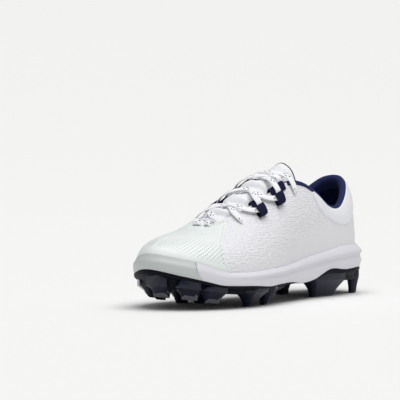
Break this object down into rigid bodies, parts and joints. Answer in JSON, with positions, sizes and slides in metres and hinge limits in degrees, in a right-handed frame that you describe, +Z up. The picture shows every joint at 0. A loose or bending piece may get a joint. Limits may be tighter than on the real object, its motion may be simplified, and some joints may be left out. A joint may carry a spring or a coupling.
{
  "type": "softball cleat",
  "caption": "Left low-cut softball cleat: lasted upper with padded collar, laced throat, tongue, foam midsole, toe guard and moulded plate with studs; holds a foot and grips turf.",
  "frame": {"origin": "on the ground under the middle of the sole's box, at the level of the stud tips", "axes": "+X towards the toe, +Y towards the outer (lateral) side, +Z up"},
  "size_m": [0.2616, 0.098, 0.1127],
  "materials": {
    "white_leather": "white coated synthetic leather, fine grain, satin",
    "smooth_leather": "white coated synthetic leather, smooth, satin",
    "pale_film": "pale grey-green film overlay with fine dots, satin",
    "white_foam": "white moulded foam, satin",
    "pale_rand": "pale grey-green moulded rand, satin",
    "navy_plate": "near-black navy moulded plastic, semi-gloss",
    "white_textile": "white woven textile, matte",
    "navy_webbing": "navy woven webbing and lining, matte"
  },
  "bodies": {
    "root": {"outsole": "navy_plate", "midsole": "white_foam", "toe_guard": "pale_rand", "upper": "white_leather", "vamp_overlay": "pale_film", "heel_panel": "smooth_leather", "insole": "navy_webbing", "tongue": "white_textile", "lace_base_bar": "white_textile", "lace_cross_1": "white_textile", "lace_cross_2": "white_textile", "lace_cross_3": "white_textile", "lace_cross_4": "white_textile", "lace_top_bar": "white_textile", "loop_lower_lateral": "navy_webbing", "loop_lower_medial": "navy_webbing", "loop_upper_lateral": "navy_webbing", "loop_upper_medial": "navy_webbing"}
  },
  "joints": []
}
